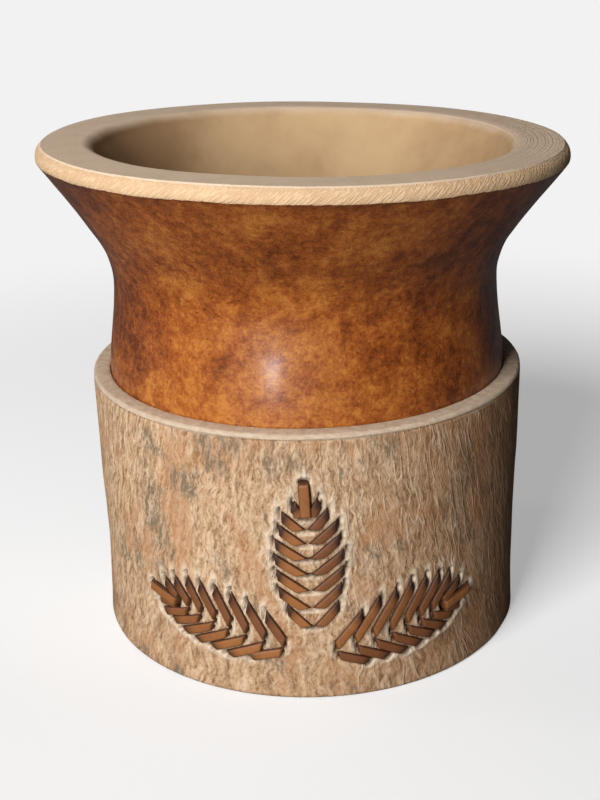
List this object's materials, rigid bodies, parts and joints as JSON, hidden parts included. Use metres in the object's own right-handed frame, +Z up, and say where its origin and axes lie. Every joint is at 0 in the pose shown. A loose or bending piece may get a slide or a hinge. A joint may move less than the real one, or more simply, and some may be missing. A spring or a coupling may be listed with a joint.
{
  "type": "mate gourd cup",
  "caption": "Empty flared gourd cup for drinking mate, set in a thick rawhide sleeve laced with wheat ears.",
  "frame": {"origin": "on the table, under the axis of the cup", "axes": "+Z up along the axis of the cup; the middle laced ear faces -Y; +X is to the right of someone looking along +Y"},
  "size_m": [0.0982, 0.0982, 0.095],
  "materials": {
    "gourd_shell": "varnished mottled brown shell with a raw sawn lip",
    "rawhide": "raw, untanned, faintly wrinkled hide with grey patches",
    "lace": "waxed brown lace with dark edges"
  },
  "bodies": {
    "root": {"gourd": "gourd_shell", "leather_sleeve": "rawhide", "base_disc": "rawhide", "ear_middle_left_1": "lace", "ear_middle_right_1": "lace", "ear_middle_left_2": "lace", "ear_middle_right_2": "lace", "ear_middle_left_3": "lace", "ear_middle_right_3": "lace", "ear_middle_left_4": "lace", "ear_middle_right_4": "lace", "ear_middle_left_5": "lace", "ear_middle_right_5": "lace", "ear_middle_left_6": "lace", "ear_middle_right_6": "lace", "ear_middle_left_7": "lace", "ear_middle_right_7": "lace", "ear_middle_left_8": "lace", "ear_middle_right_8": "lace", "ear_left_left_1": "lace", "ear_left_right_1": "lace", "ear_left_left_2": "lace", "ear_left_right_2": "lace", "ear_left_left_3": "lace", "ear_left_right_3": "lace", "ear_left_left_4": "lace", "ear_left_right_4": "lace", "ear_left_left_5": "lace", "ear_left_right_5": "lace", "ear_left_left_6": "lace", "ear_left_right_6": "lace", "ear_left_left_7": "lace", "ear_left_right_7": "lace", "ear_left_left_8": "lace", "ear_left_right_8": "lace", "ear_right_left_1": "lace", "ear_right_right_1": "lace", "ear_right_left_2": "lace", "ear_right_right_2": "lace", "ear_right_left_3": "lace", "ear_right_right_3": "lace", "ear_right_left_4": "lace", "ear_right_right_4": "lace", "ear_right_left_5": "lace", "ear_right_right_5": "lace", "ear_right_left_6": "lace", "ear_right_right_6": "lace", "ear_right_left_7": "lace", "ear_right_right_7": "lace", "ear_right_left_8": "lace", "ear_right_right_8": "lace", "ear_middle_spike": "lace", "ear_left_spike": "lace", "ear_right_spike": "lace"}
  },
  "joints": []
}
